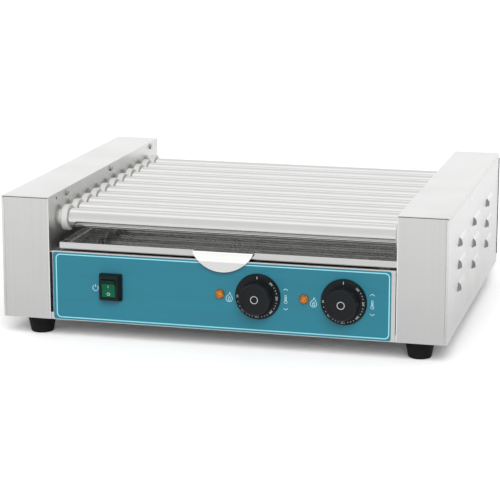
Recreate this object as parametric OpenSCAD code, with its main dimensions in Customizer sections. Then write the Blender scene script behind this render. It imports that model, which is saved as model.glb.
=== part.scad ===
// Hot dog roller grill, free standing on a counter.
// Millimetres. +X runs along the rollers, -Y is the operator's side and +Z is up.
// The origin is on the counter, under the middle of the grill.

/* [Body] */
// Width over the two end housings, without their louvres
body_w = 580; // [570:1:600]
// Depth of the housings
body_d = 470; // [468:1:480]
// Height of the housings, without the feet
body_h = 160; // [160:1:170]
// Width of each end housing
end_w = 64; // [64:1:70]
// Thickness of the stainless sheet
sheet = 1; // [0.8:0.1:1.2]
// Height of the feet
foot_h = 26; // [20:1:40]
// Width of the narrow return where an end cover wraps round onto the front and rear
return_w = 3.3; // [2:0.1:6]

/* [Rollers] */
// Outside diameter of a roller tube
roller_d = 25.4; // [24:0.1:26]
// Distance between neighbouring roller axes
roller_pitch = 37.6; // [37:0.1:38.1]
// Height of the roller axes above the underside of the housings
roller_rise = 125.5; // [125:0.5:128]
// Outside diameter of the white bearing collars
collar_d = 34; // [32:0.5:36]
// Width of the white bearing collars on the left
collar_w = 8.4; // [8:0.1:9]

/* [Front panel and drip tray] */
// Height of the front panel
panel_h = 91; // [89:0.2:91.4]
// Height of the drip tray's walls
tray_h = 9.5; // [8:0.5:11]
// Width of the drip tray
tray_w = 438.8; // [430:0.1:439]
// Width of the half-moon pull tab
tab_w = 80.5; // [60:0.5:90]
// Drop of the half-moon pull tab
tab_drop = 24.5; // [18:0.5:26]
// Distance of the pull tab from the middle
tab_x = 5; // [-10:1:10]

/* [Controls] */
// Height of the controls' centre line above the underside of the housings
control_rise = 47.8; // [46:0.2:50]
// Place of the power switch across the panel
switch_x = -143; // [-150:1:-130]
// Place of the left pilot lamp across the panel
left_lamp_x = 1; // [-10:0.1:10]
// Place of the right pilot lamp across the panel
right_lamp_x = 109.7; // [100:0.1:120]
// Place of the left thermostat knob across the panel
left_knob_x = 50.7; // [48:0.1:60]
// Place of the right thermostat knob across the panel
right_knob_x = 160.7; // [158:0.1:170]
// Diameter of a knob's dial skirt
skirt_d = 58.4; // [54:0.2:60]
// Diameter of a knob's cap
cap_d = 42.4; // [38:0.2:44]
// How far a knob and the cable gland stand out of the housing
proud = 22; // [20:0.5:26]

/* [Louvres] */
// Length of a louvre
louvre_l = 70; // [60:1:80]
// Height of a louvre
louvre_h = 10.5; // [9:0.5:12]
// How far a louvre bulges out of the cover
louvre_out = 4; // [3:0.5:5]

/* [Hidden] */
$fn = 64;

// Small distances
gap = 0.2;          // between neighbouring sheets
eps = 0.5;          // how far a cut runs past a face
fit = 0.06;         // radial running clearance of a shaft in its bearing

// Main planes
x_out = body_w / 2;
x_in = x_out - end_w;
y_half = body_d / 2;
z_low = foot_h;
z_high = foot_h + body_h;
z_panel = z_low + panel_h;
z_control = z_low + control_rise;
fold_r = 2;

// Rollers and their bearings; the left collars stand off their side frame and the right ones touch it
roller_n = 11;
roller_r = roller_d / 2;
roller_wall = 1;
roller_z = z_low + roller_rise;
spigot_r = 8;
spigot_bore_r = 6;
left_collar = [x_in - 5 - collar_w, x_in - 5];
right_collar = [x_in - 7.8, x_in];
roller_end = x_in - 6.4;             // the end of the full diameter
cap_t = 2;                           // thickness of a roller's end disc
neck_r = 10;
bush_r = 12;
bush_end = x_in + 5;

// Chain drive in the right housing
chain_pitch = 9.525;
teeth = 10;
pitch_r = chain_pitch / 2 / sin(180 / teeth);
tip_r = pitch_r + 2.2;
seat_r = 3.25;
sprocket_t = 5;
hub_r = 10.5;
chain_x = x_in + 17;
plate_in = 2.9;
plate_t = 1.3;
plate_half_h = 3.9;
motor_yz = [-60, z_low + 45];
idler_yz = [90, z_low + 50];

// Heater rods and the brackets behind the side frames
rod_r = 4;
rod_end = x_in + 46;
bracket_x = x_in + 36;
bracket_t = 1.2;
insulator_r = 5.5;

// Drip tray on its rails
tray_t = 0.8;
deck_z = z_panel - 2 * sheet;        // underside of the deck plate
ledge_z = z_panel + 1;               // the faces that the tray slides on
tray_z = ledge_z + 0.1;
tray_x = [x_in - 0.7 - tray_w, x_in - 0.7];
tray_y = [-y_half + 5, y_half - 15];
tray_bend_r = 2.4;
tab_lean = 10;
tab_reach = 7.2;
guide_x = 1 - tray_x[0];

// Controls
lamp_x = [left_lamp_x, right_lamp_x];
knob_x = [left_knob_x, right_knob_x];
decal_t = 0.4;
decal = [-221.2, 219.8];             // left and right edges of the printed overlay
decal_margin = [0.9, 1.7];           // bare metal below and above the overlay
y_decal = -y_half - decal_t;
flange = [31, 35.5, 2.5];            // the switch's flange: width, height, thickness
rim = [23.5, 30.7];                  // the front edge of the switch's collar
rim_out = 11;
well = [18.3, 24.9];                 // the opening that the rocker tips in
rocker_w = 17.5;
rocker_r = 12.1;
rocker_tilt = 8;
pivot_y = y_decal - rim_out + 4.5;
pivot_r = 1.5;
shaft_r = 3;

// Other places
foot_xy = [251, 200];
screw_y = [-165, 15, 199];
spare_y = -205;                      // an empty hole in line with the cover's screws
screw_z = z_high - 6.5;
rear_screw_x = [-205, 0, 205];
rear_screw_z = [z_low + 6, z_panel - 9.8];
gland_x = -170;
gland_z = z_low + 34;

// ---- shared shapes ----

module box(lo, hi) { translate(lo) cube(hi - lo); }

// a cylinder along X, from x0 to x1
module xcyl(r, x0, x1, yz = [0, 0]) {
  translate([x0, yz[0], yz[1]]) rotate([0, 90, 0]) cylinder(r = r, h = x1 - x0);
}

// a cylinder along Y, from y0 to y1
module ycyl(r, y0, y1, xz = [0, 0]) {
  translate([xz[0], y1, xz[1]]) rotate([90, 0, 0]) cylinder(r = r, h = y1 - y0);
}

// draws on the right and, for side = -1, mirrors it to the left
module on_side(side) {
  if (side < 0) mirror([1, 0, 0]) children();
  else children();
}

// extrudes an outline drawn in X and Z along Y, from y0 to y1
module along_y(y0, y1) { translate([0, y1, 0]) rotate([90, 0, 0]) linear_extrude(y1 - y0) children(); }

// a rectangle from lo to hi with round corners
module round_rect(lo, hi, r) {
  translate(lo + [r, 0]) square(hi - lo - [2 * r, 0]);
  translate(lo + [0, r]) square(hi - lo - [0, 2 * r]);
  for (x = [lo[0] + r, hi[0] - r], y = [lo[1] + r, hi[1] - r]) translate([x, y]) circle(r);
}

// a rectangle centred on c with round corners
module round_rect_at(c, size, r) { round_rect(c - size / 2, c + size / 2, r); }

// a slot centred on c with round ends, along the outline's first axis or turned from it
module slot_at(c, length, width, turn = 0) {
  translate(c) rotate(turn) {
    square([length - width, width], center = true);
    for (end = [-1, 1]) translate([end * (length - width) / 2, 0]) circle(width / 2);
  }
}

function roller_y(i) = (i - (roller_n + 1) / 2) * roller_pitch;

module at_rollers() { for (i = [1:roller_n]) translate([0, roller_y(i), roller_z]) children(); }

// ---- sheet metal ----

module base_pan() {
  hx = x_out - sheet - gap;
  hy = y_half - sheet - gap;
  lip_h = 9;
  color("silver") difference() {
    union() {
      box([-hx, -hy, z_low], [hx, hy, z_low + sheet]);
      difference() {
        box([-hx, -hy, z_low], [hx, hy, z_low + lip_h]);
        box([-hx + sheet, -hy + sheet, z_low - eps], [hx - sheet, hy - sheet, z_low + lip_h + eps]);
      }
    }
    for (x = [-foot_xy[0], foot_xy[0]], y = [-foot_xy[1], foot_xy[1]])
      translate([x, y, z_low - eps]) cylinder(r = 3, h = sheet + 2 * eps);
    for (x = [-foot_xy[0], foot_xy[0]], y = [-90:30:90])
      translate([0, 0, z_low - eps]) linear_extrude(sheet + 2 * eps)
        slot_at([x, y], 36, 6);
    for (side = [-1, 1]) on_side(side)
      box([x_in - gap, -y_half, z_low + sheet], [x_in + sheet + gap, y_half, z_low + lip_h + eps]);
    for (x = rear_screw_x) ycyl(1.5, hy - sheet - eps, y_half, [x, rear_screw_z[0]]);
  }
}

// a front or rear panel between the housings: its face, top flange and side returns, drawn at the front
module panel_sheet(x0, x1) {
  return_d = 13;
  box([x0, -y_half, z_low], [x1, -y_half + sheet, z_panel]);
  box([x0, -y_half, z_panel - sheet], [x1, -y_half + return_d, z_panel]);
  for (x = [x0, x1 - sheet]) box([x, -y_half, z_low + 12], [x + sheet, -y_half + return_d, deck_z - gap]);
}

// the openings for the switch, the lamps and the knob shafts
module control_holes(y0, y1) {
  lamp_hole_r = 5.1;
  knob_hole_r = 4.2;
  switch_hole = [24, 29];
  along_y(y0, y1) {
    round_rect_at([switch_x, z_control], switch_hole, 1);
    for (x = lamp_x) translate([x, z_control]) circle(lamp_hole_r);
    for (x = knob_x) translate([x, z_control]) circle(knob_hole_r);
  }
}

module front_panel() {
  color("silver") difference() {
    panel_sheet(decal[0] - 0.6, x_in - 1);
    control_holes(-y_half - eps, -y_half + sheet + eps);
  }
}

module control_decal() {
  color([0.13, 0.42, 0.5]) difference() {
    along_y(y_decal, -y_half)
      round_rect([decal[0], z_low + decal_margin[0]], [decal[1], z_panel - decal_margin[1]], 3);
    control_holes(y_decal - eps, -y_half + eps);
  }
}

module rear_panel() {
  color("silver") difference() {
    mirror([0, 1, 0]) panel_sheet(-x_in + 1, x_in - 1);
    ycyl(8, y_half - sheet - eps, y_half + eps, [gland_x, gland_z]);
    along_y(y_half - sheet - eps, y_half + eps)
      for (x = [-60:20:180], z = [z_low + 28, z_low + 58]) slot_at([x, z], 22, 5, 90);
    for (x = rear_screw_x, z = rear_screw_z) ycyl(1.5, y_half - sheet - eps, y_half + eps, [x, z]);
  }
}

module deck_plate() {
  hy = y_half - sheet - gap;
  color("silver") box([-x_in + 0.5, -hy, deck_z], [x_in - 0.5, hy, deck_z + sheet]);
}

// one rail, drawn on the right: a foot on the deck, an upright, the ledge under the tray and the end stop
module tray_rail(upright_h) {
  y_end = tray_y[1] + gap;
  along_y(-y_half + 15, y_end + sheet) {
    translate([guide_x, deck_z + sheet]) square([x_in - 3 - guide_x, sheet]);
    translate([guide_x, deck_z + sheet]) square([sheet, upright_h]);
    translate([guide_x - 14, ledge_z - sheet]) square([14 + sheet, sheet]);
  }
  box([guide_x - 6, y_end, ledge_z - sheet], [guide_x + sheet, y_end + sheet, ledge_z + 4]);
}

// the left rail's upright guides the tray, and on the right the side frame does
module tray_rails() {
  color("gray") {
    on_side(-1) tray_rail(8);
    tray_rail(ledge_z - deck_z - sheet);
  }
}

// the roller side, the front face and the rear face of an end housing, drawn on the right
module side_frame() {
  face_x = x_out - return_w - 0.3;
  z_face = z_high - sheet - 0.5;
  box([x_in, -y_half, z_low + sheet], [x_in + sheet, y_half, z_high - sheet]);
  for (side = [-1, 1]) {
    y = side * (y_half - sheet / 2);
    box([x_in, y - sheet / 2, z_low], [face_x, y + sheet / 2, z_face]);
  }
  box([x_in, -y_half + 20, z_low + sheet], [x_in + 13, y_half - 20, z_low + 2 * sheet]);
}

module side_frame_holes() {
  at_rollers() xcyl(bush_r + 0.05, x_in - eps, x_in + sheet + eps);
  for (y = concat(spare_y, screw_y)) xcyl(2, x_in - eps, x_in + sheet + eps, [y, screw_z]);
}

module left_side_frame() {
  color("silver") on_side(-1) difference() {
    side_frame();
    side_frame_holes();
  }
}

module right_side_frame() {
  color("silver") difference() {
    side_frame();
    side_frame_holes();
    xcyl(10, x_in - eps, x_in + sheet + eps, motor_yz);
    xcyl(5, x_in - eps, x_in + sheet + eps, idler_yz);
    for (y = [-25, 25], z = [-25, 25])
      xcyl(2, x_in - eps, x_in + sheet + eps, motor_yz + [y, z]);
  }
}

// a block in X and Z with its outer upper corner rounded
module fold_block(x0, x1, z0, z1, r) {
  translate([x0, z0]) square([x1 - x0 - r, z1 - z0]);
  translate([x0, z0]) square([x1 - x0, z1 - z0 - r]);
  translate([x1 - r, z1 - r]) circle(r);
}

// all that lies behind a louvre's front ramp, which starts at y = 0 and leans back upwards
module behind_ramp(shrink, back) {
  taper = 8;
  lean = 45;
  inset = shrink * sqrt(taper * taper + louvre_out * louvre_out) / louvre_out;
  rotate([-lean, 0, 0]) translate([0, 0, -louvre_l]) linear_extrude(2 * louvre_l) polygon([
    [back, inset], [0, inset], [louvre_out, taper + inset],
    [louvre_out, 2 * louvre_l], [back, 2 * louvre_l]
  ]);
}

// the bulge of one louvre on the plane x = 0, shrunk by the sheet for its hollow
module louvre_bulge(shrink) {
  arc_r = (louvre_out * louvre_out + louvre_h * louvre_h) / (2 * louvre_out);
  back = shrink > 0 ? -2 * sheet : -sheet / 2;
  drop = shrink > 0 ? eps : 0;
  intersection() {
    along_y(0, louvre_l) intersection() {
      translate([louvre_out - arc_r, 0]) circle(arc_r - shrink, $fn = 128);
      translate([back, -drop]) square([louvre_out - back, 2 * louvre_h]);
    }
    behind_ramp(shrink, back);
    translate([0, louvre_l, 0]) mirror([0, 1, 0]) behind_ramp(shrink, back);
  }
}

module at_louvres() {
  for (column = [-160:128:96], row = [0:2])
    translate([x_out, column, z_low + 50 + 29 * row]) children();
}

// the top, the outer side and the hidden screw lip of an end housing, drawn on the right
module end_cover() {
  lip_h = 15;
  difference() {
    union() {
      along_y(-y_half, y_half) difference() {
        fold_block(x_in, x_out, z_low, z_high, fold_r);
        fold_block(x_in - eps, x_out - sheet, z_low - eps, z_high - sheet, fold_r - sheet);
      }
      for (side = [-1, 1]) {
        y = side * (y_half - sheet / 2);
        box([x_out - return_w, y - sheet / 2, z_low], [x_out - sheet / 2, y + sheet / 2, z_high - fold_r]);
      }
      box([x_in + sheet, -y_half + 8, z_high - lip_h], [x_in + 2 * sheet, y_half - 8, z_high - sheet / 2]);
      at_louvres() louvre_bulge(0);
    }
    at_louvres() louvre_bulge(0.8);
    for (y = concat(spare_y, screw_y)) xcyl(2, x_in, x_in + 3 * sheet, [y, screw_z]);
  }
}

module left_end_cover() { color("gainsboro") on_side(-1) end_cover(); }

module right_end_cover() { color("gainsboro") end_cover(); }

// ---- roller bearings and heaters ----

// one bearing, drawn on the right: the white collar round the tube's end, its neck and its shank
module bush(collar) {
  edge = 1.4;
  difference() {
    rotate([90, 0, 90]) rotate_extrude() {
      round_rect([2, collar[0]], [collar_d / 2, collar[1]], edge);
      translate([2, collar[0] + edge]) square([neck_r - 2, x_in - collar[0] - edge]);
      translate([2, x_in]) square([bush_r - 2, bush_end - x_in]);
    }
    xcyl(roller_r + fit, collar[0] - eps, roller_end + 0.4);
    xcyl(spigot_r + fit, collar[0], bush_end + eps);
  }
}

module left_bushes() { color("white") on_side(-1) at_rollers() bush(left_collar); }

module right_bushes() { color("white") at_rollers() bush(right_collar); }

module heater_rods() {
  terminal_r = 2;
  terminal_end = rod_end + 8;
  color("dimgray") at_rollers() {
    xcyl(rod_r, -rod_end, rod_end);
    xcyl(terminal_r, -terminal_end, terminal_end);
  }
}

module heater_insulators() {
  color("ivory") for (side = [-1, 1]) on_side(side) at_rollers() difference() {
    union() {
      xcyl(insulator_r, bracket_x - 5, bracket_x + 8);
      xcyl(insulator_r + 2.5, bracket_x + bracket_t, bracket_x + bracket_t + 3);
    }
    xcyl(rod_r, bracket_x - 6, bracket_x + 9);
  }
}

// a strip from the front face to the rear face that holds the rod ends, drawn on the right
module heater_bracket() {
  y_end = y_half - sheet;
  z0 = roller_z - 13;
  z1 = roller_z + 13;
  difference() {
    union() {
      box([bracket_x, -y_end, z0], [bracket_x + bracket_t, y_end, z1]);
      for (side = [-1, 1]) {
        y = side * (y_end - bracket_t / 2);
        box([bracket_x, y - bracket_t / 2, z0], [bracket_x + 14, y + bracket_t / 2, z1]);
      }
    }
    at_rollers() xcyl(insulator_r, bracket_x - eps, bracket_x + bracket_t + eps);
  }
}

module left_heater_bracket() { color("gray") on_side(-1) heater_bracket(); }

module right_heater_bracket() { color("gray") heater_bracket(); }

// ---- rollers and chain drive ----

module roller(i) {
  right_end = chain_x + 9;
  left_end = x_in + 9;
  color("whitesmoke") translate([0, roller_y(i), roller_z]) difference() {
    union() {
      xcyl(roller_r, -roller_end, roller_end);
      xcyl(spigot_r, -left_end, right_end);
    }
    xcyl(roller_r - roller_wall, -roller_end + cap_t, roller_end - cap_t);
    xcyl(spigot_bore_r, -left_end - eps, right_end + eps);
  }
}

// a sprocket on the X axis: toothed disc and the hub that faces the side frame
module sprocket(bore_r) {
  hub_x = x_in + 5.6;
  difference() {
    union() {
      translate([chain_x - sprocket_t / 2, 0, 0]) rotate([90, 0, 90]) linear_extrude(sprocket_t)
        difference() {
          circle(tip_r);
          for (k = [0:teeth - 1]) rotate(k * 360 / teeth) {
            translate([pitch_r, 0]) circle(seat_r);
            polygon([
              [pitch_r, -seat_r], [tip_r + 1, -seat_r - 1], [tip_r + 1, seat_r + 1], [pitch_r, seat_r]
            ]);
          }
        }
      xcyl(hub_r, hub_x, chain_x);
    }
    xcyl(bore_r, hub_x - eps, chain_x + sprocket_t);
  }
}

module roller_sprocket(i) {
  color("darkgray") translate([0, roller_y(i), roller_z]) sprocket(spigot_r);
}

module motor_sprocket() {
  color("darkgray") translate([0, motor_yz[0], motor_yz[1]]) {
    sprocket(4);
    xcyl(4, x_in - 10, chain_x + 7);
  }
}

module idler_sprocket() {
  color("darkgray") translate([0, idler_yz[0], idler_yz[1]]) sprocket(5 + fit);
}

// the closed line of the chain, r away from the four corner sprockets
module chain_outline(r) {
  corners = [[roller_y(1), roller_z], [roller_y(roller_n), roller_z], motor_yz, idler_yz];
  hull() for (c = corners) translate(c) circle(r, $fn = 32);
}

// pins along the free chain between two corner sprockets, on its outer side
module chain_pins(a, b, count) {
  along = (b - a) / norm(b - a);
  out = [along[1], -along[0]] * pitch_r;
  for (k = [1:count]) {
    s = 26 + (norm(b - a) - 52) * (k - 1) / max(1, count - 1);
    xcyl(1.6, chain_x - plate_in - plate_t, chain_x + plate_in + plate_t, a + along * s + out);
  }
}

module drive_chain() {
  front = [roller_y(1), roller_z];
  rear = [roller_y(roller_n), roller_z];
  color("dimgray") {
    for (x = [chain_x - plate_in - plate_t, chain_x + plate_in]) translate([x, 0, 0])
      rotate([90, 0, 90]) linear_extrude(plate_t) difference() {
        chain_outline(pitch_r + plate_half_h);
        chain_outline(pitch_r - plate_half_h);
      }
    for (i = [1:roller_n - 1])
      xcyl(1.6, chain_x - plate_in - plate_t, chain_x + plate_in + plate_t,
           [roller_y(i) + roller_pitch / 2, roller_z + pitch_r]);
    chain_pins(front, motor_yz, 6);
    chain_pins(motor_yz, idler_yz, 6);
    chain_pins(idler_yz, rear, 5);
  }
}

module gear_motor() {
  color("slategray") translate([0, motor_yz[0], motor_yz[1]]) difference() {
    union() {
      xcyl(30, x_in - 36, x_in - 2);
      xcyl(25, x_in - 60, x_in - 35);
      xcyl(10, x_in - 3, x_in + 3);
      box([x_in - 56, -8, 20], [x_in - 40, 8, 30]);
    }
    xcyl(4 + fit, x_in - 12, x_in + 3 + eps);
    for (y = [-25, 25], z = [-25, 25]) xcyl(5, x_in - 40, x_in, [y, z]);
  }
}

module motor_bracket() {
  color("gray") difference() {
    along_x_plate([motor_yz[0] - 36, motor_yz[1] - 36], [motor_yz[0] + 36, motor_yz[1] + 36]);
    xcyl(10, x_in - 3, x_in + eps, motor_yz);
    for (y = [-25, 25], z = [-25, 25]) xcyl(2, x_in - 3, x_in + eps, motor_yz + [y, z]);
  }
}

// a two millimetre plate against the right side frame, with round corners
module along_x_plate(lo, hi) {
  translate([x_in - 2, 0, 0]) rotate([90, 0, 90]) linear_extrude(2) round_rect(lo, hi, 5);
}

module motor_screws() {
  color("silver") for (y = [-25, 25], z = [-25, 25]) {
    xcyl(2, x_in - 2, x_in + 5, motor_yz + [y, z]);
    xcyl(3.8, x_in - 5, x_in - 2, motor_yz + [y, z]);
    xcyl(3.8, x_in + sheet, x_in + 4, motor_yz + [y, z]);
  }
}

module idler_axle() {
  color("silver") translate([0, idler_yz[0], idler_yz[1]]) {
    xcyl(5, x_in - 4, chain_x + 8);
    translate([x_in - 5, 0, 0]) rotate([0, 90, 0]) cylinder(r = 9, h = 5, $fn = 6);
    xcyl(8, x_in + sheet, x_in + 5);
    translate([chain_x + 3.2, 0, 0]) rotate([0, 90, 0]) cylinder(r = 8, h = 4, $fn = 6);
  }
}

// ---- controls ----

module thermostats() {
  depth = 20;
  front = -y_half + sheet;
  color("lightgray") for (x = knob_x) difference() {
    union() {
      box([x - 18, front + 4, z_control - 16], [x + 18, front + 4 + depth, z_control + 16]);
      ycyl(7, front, front + 5, [x, z_control]);
      box([x - 22, front + 4, z_control - 6], [x + 22, front + 5.5, z_control + 6]);
    }
    ycyl(shaft_r + fit, front - eps, front + 18, [x, z_control]);
  }
}

// a knob with its dial skirt, dished cap and shaft
module knob(x) {
  back = 0.5;
  skirt_t = 5.5;
  face = proud - decal_t;
  cap_r = cap_d / 2;
  shaft_l = 17;
  color([0.12, 0.12, 0.12]) translate([x, y_decal, z_control]) {
    rotate([90, 0, 0]) rotate_extrude($fn = 96) {
      polygon([
        [0, back], [skirt_d / 2, back], [skirt_d / 2, back + 2], [skirt_d / 2 - 1.5, skirt_t],
        [cap_r, skirt_t], [cap_r - 1.2, face - 1.4], [cap_r - 2.6, face], [cap_r - 4.2, face - 0.4],
        [cap_r - 6.5, face - 1.6], [7, face - 1.9], [0, face - 1.9]
      ]);
      translate([5.2, face - 2.4]) square([1, 1.2]);
    }
    ycyl(shaft_r, -back - 1, shaft_l);
  }
}

module left_knob() { knob(knob_x[0]); }

module right_knob() { knob(knob_x[1]); }

module lamp_bodies() {
  color("ivory") for (x = lamp_x) {
    ycyl(6.5, -y_half + sheet, -y_half + 20, [x, z_control]);
    for (s = [-3, 3])
      box([x + s - 0.4, -y_half + 19, z_control - 2.4], [x + s + 0.4, -y_half + 28, z_control + 2.4]);
  }
}

module lamp_lenses() {
  lens_r = 6.5;
  dome_r = 8.2;
  rise = sqrt(dome_r * dome_r - lens_r * lens_r);
  color([1, 0.55, 0.05]) for (x = lamp_x) translate([x, y_decal, z_control]) {
    ycyl(5, -0.5, decal_t + sheet);
    ycyl(lens_r, -1, 0);
    intersection() {
      translate([0, rise - 1, 0]) sphere(dome_r);
      ycyl(lens_r, -1 - dome_r, -0.9);
    }
  }
}

// a thin slice of the switch's collar, for its tapered walls
module collar_slice(size, y) {
  along_y(y, y + 0.2) round_rect_at([switch_x, z_control], size, 2.5);
}

module switch_body() {
  body = [23.4, 28.4];
  color([0.08, 0.08, 0.08]) difference() {
    union() {
      along_y(y_decal - flange[2], y_decal)
        round_rect_at([switch_x, z_control], [flange[0], flange[1]], 2.5);
      hull() {
        collar_slice([flange[0] - 2, flange[1] - 1.5], y_decal - flange[2]);
        collar_slice(rim, y_decal - rim_out);
      }
      along_y(y_decal - 0.5, -y_half + 24) round_rect_at([switch_x, z_control], body, 1);
      for (z = [-9, 9], x = [-5, 5])
        box([switch_x + x - 0.4, -y_half + 23, z_control + z - 3],
            [switch_x + x + 0.4, -y_half + 33, z_control + z + 3]);
    }
    along_y(y_decal - rim_out - eps, y_decal - 1) round_rect_at([switch_x, z_control], well, 1);
    xcyl(pivot_r + 0.05, switch_x - 10.8, switch_x + 10.8, [pivot_y, z_control]);
  }
}

// the rocker tips about its two side pins; its off end is pressed in
module power_rocker() {
  color([0.04, 0.42, 0.28]) translate([switch_x, pivot_y, z_control]) {
    xcyl(pivot_r, -10.6, 10.6);
    rotate([rocker_tilt, 0, 0]) translate([-rocker_w / 2, 0, 0])
      rotate([90, 0, 90]) linear_extrude(rocker_w) intersection() {
        circle(rocker_r);
        polygon([[3.2, -11], [3.2, 11], [-6.8, 13], [-4.6, 0], [-6.8, -13]]);
      }
  }
}

module terminal_block() {
  x0 = -205;
  y0 = 150;
  base_z = z_low + sheet;
  color("ivory") {
    box([x0, y0, base_z], [x0 + 62, y0 + 22, base_z + 10]);
    for (k = [0:6]) box([x0 + 10 * k, y0, base_z + 9], [x0 + 10 * k + 2, y0 + 22, base_z + 18]);
  }
}

module cable_gland() {
  bore_r = 4;
  hex_r = 12.5;
  color([0.1, 0.1, 0.1]) translate([gland_x, y_half, gland_z]) difference() {
    union() {
      ycyl(8, -12, 1);
      rotate([90, 0, 0]) translate([0, 0, sheet]) cylinder(r = hex_r, h = 5, $fn = 6);
      rotate([-90, 0, 0]) cylinder(r = hex_r, h = 6, $fn = 6);
      rotate([-90, 0, 0]) translate([0, 0, 6]) cylinder(r1 = 10.8, r2 = 9.5, h = 8);
      rotate([-90, 0, 0]) translate([0, 0, 14]) cylinder(r1 = 9.5, r2 = 6.5, h = proud - 14);
    }
    ycyl(bore_r, -13, proud + 1);
  }
}

// ---- feet and screws ----

module at_feet() {
  for (x = [-foot_xy[0], foot_xy[0]], y = [-foot_xy[1], foot_xy[1]]) translate([x, y, 0]) children();
}

module feet() {
  top_r = 20;
  low_r = 15;
  edge = 2.5;
  color([0.1, 0.1, 0.1]) at_feet() difference() {
    union() {
      rotate_extrude() {
        translate([low_r - edge, edge]) circle(edge);
        square([low_r - edge, 2 * edge]);
      }
      translate([0, 0, edge]) cylinder(r1 = low_r, r2 = top_r, h = foot_h - edge);
    }
    translate([0, 0, -eps]) cylinder(r = 7.5, h = foot_h / 2 + eps);
    cylinder(r = 3, h = foot_h + eps);
  }
}

module foot_screws() {
  seat = foot_h / 2;
  color("silver") at_feet() {
    translate([0, 0, seat - 4]) cylinder(r = 6, h = 4);
    translate([0, 0, seat - 1]) cylinder(r = 3, h = foot_h - seat + 9);
    translate([0, 0, foot_h + sheet]) cylinder(r = 5.8, h = 5, $fn = 6);
  }
}

// a pan head screw along +X with a cross recess, its head ending at x = 0
module pan_screw(length) {
  head_r = 4;
  head_h = 2.2;
  difference() {
    union() {
      xcyl(head_r, -head_h, 0);
      xcyl(2, -0.5, length);
    }
    for (a = [0, 90]) rotate([a, 0, 0]) box([-head_h - eps, -2.2, -0.45], [-head_h + 1.2, 2.2, 0.45]);
  }
}

module cover_screws() {
  color("silver") for (side = [-1, 1]) on_side(side)
    for (y = screw_y) translate([x_in, y, screw_z]) pan_screw(8);
}

module rear_screws() {
  color("silver") for (x = rear_screw_x, z = rear_screw_z)
    translate([x, y_half, z]) rotate([0, 0, -90]) scale(0.75) pan_screw(9);
}

// ---- drip tray ----

// points on an arc round c, from angle a0 to a1
function arc_points(c, r, a0, a1) = [
  for (k = [0:6]) let (a = a0 + (a1 - a0) * k / 6) c + r * [cos(a), sin(a)]
];

// the bent strip of the pull tab in Y and Z: forwards from the wall at y_wall, over a bend and down
module tab_section(y_wall, z_rim) {
  bend_r = 1.6;
  y_fold = y_wall - tab_reach;
  centre = [y_fold + bend_r, z_rim - bend_r];
  down = [-sin(tab_lean), -cos(tab_lean)] * (tab_drop + 2);
  outer = arc_points(centre, bend_r, 90, 180 - tab_lean);
  inner = arc_points(centre, bend_r - tray_t, 180 - tab_lean, 90);
  polygon(concat(
    [[y_wall, z_rim]], outer, [outer[6] + down, inner[0] + down], inner, [[y_wall, z_rim - tray_t]]
  ));
}

// the pull tab: the bent strip, cut to a half-moon as seen from the front
module pull_tab(y_wall, z_rim) {
  arc_r = (tab_w * tab_w / 4 + tab_drop * tab_drop) / (2 * tab_drop);
  strip_w = tab_w - 3;
  intersection() {
    translate([tab_x - strip_w / 2, 0, 0]) rotate([90, 0, 90])
      linear_extrude(strip_w) tab_section(y_wall, z_rim);
    along_y(y_wall - 2 * tab_drop, y_wall + 1)
      translate([tab_x, z_rim - tab_drop + arc_r]) circle(arc_r, $fn = 128);
  }
}

// an outline from lo upwards to hi, with its two lower corners round
module pan_outline(lo, hi, r) {
  translate(lo + [r, 0]) square(hi - lo - [2 * r, 0]);
  translate(lo + [0, r]) square(hi - lo - [0, r]);
  for (x = [lo[0] + r, hi[0] - r]) translate([x, lo[1] + r]) circle(r);
}

// the tray's block with its lower edges bent round, in by some distance on every side but the top
module pan_block(in, z_top) {
  r = tray_bend_r - in;
  intersection() {
    along_y(tray_y[0] + in, tray_y[1] - in)
      pan_outline([tray_x[0] + in, tray_z + in], [tray_x[1] - in, z_top], r);
    translate([tray_x[0] + in, 0, 0]) rotate([90, 0, 90]) linear_extrude(tray_w - 2 * in)
      pan_outline([tray_y[0] + in, tray_z + in], [tray_y[1] - in, z_top], r);
  }
}

module drip_tray() {
  z_rim = tray_z + tray_h;
  color("lightgray") {
    difference() {
      pan_block(0, z_rim);
      pan_block(tray_t, z_rim + eps);
    }
    pull_tab(tray_y[0] + tray_t / 2, z_rim);
  }
}

base_pan();
front_panel();
control_decal();
rear_panel();
deck_plate();
tray_rails();
left_side_frame();
right_side_frame();
left_end_cover();
right_end_cover();
left_bushes();
right_bushes();
heater_rods();
heater_insulators();
left_heater_bracket();
right_heater_bracket();
drive_chain();
gear_motor();
motor_bracket();
motor_screws();
idler_axle();
thermostats();
lamp_bodies();
lamp_lenses();
switch_body();
terminal_block();
cable_gland();
feet();
foot_screws();
cover_screws();
rear_screws();
roller(1);  // roller_01
roller(2);  // roller_02
roller(3);  // roller_03
roller(4);  // roller_04
roller(5);  // roller_05
roller(6);  // roller_06
roller(7);  // roller_07
roller(8);  // roller_08
roller(9);  // roller_09
roller(10);  // roller_10
roller(11);  // roller_11
roller_sprocket(1);  // sprocket_01
roller_sprocket(2);  // sprocket_02
roller_sprocket(3);  // sprocket_03
roller_sprocket(4);  // sprocket_04
roller_sprocket(5);  // sprocket_05
roller_sprocket(6);  // sprocket_06
roller_sprocket(7);  // sprocket_07
roller_sprocket(8);  // sprocket_08
roller_sprocket(9);  // sprocket_09
roller_sprocket(10);  // sprocket_10
roller_sprocket(11);  // sprocket_11
motor_sprocket();
idler_sprocket();
left_knob();
right_knob();
power_rocker();
drip_tray();
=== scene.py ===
"""Looks of the hot dog roller grill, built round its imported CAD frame.

Metres. +X runs along the rollers, -Y is the operator's side and +Z is up.
"""
import math

import bmesh
import bpy
from mathutils import Matrix, Vector


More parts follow.
